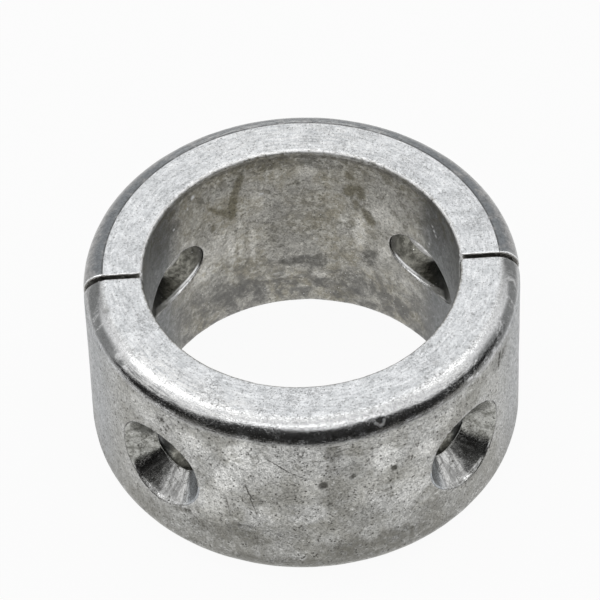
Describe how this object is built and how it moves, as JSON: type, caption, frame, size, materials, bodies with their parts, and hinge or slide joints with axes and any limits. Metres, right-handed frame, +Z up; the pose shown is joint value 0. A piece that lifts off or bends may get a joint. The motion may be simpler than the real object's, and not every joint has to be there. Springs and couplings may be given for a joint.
{
  "type": "sacrificial anode",
  "caption": "Split zinc collar anode that closes round a propeller shaft's housing and is held by countersunk screws.",
  "frame": {"origin": "on the collar's axis at its lower face, midway between the halves", "axes": "+Z up the collar's axis, -Y towards the middle of the front half, +X to its right, so the halves part along the XZ plane"},
  "size_m": [0.084, 0.084, 0.0439],
  "materials": {
    "cast_zinc": "bare cast zinc, dull light grey with mottled oxide, fine pits and dark stains"
  },
  "bodies": {
    "root": {"front_half": "cast_zinc", "rear_half": "cast_zinc"}
  },
  "joints": []
}
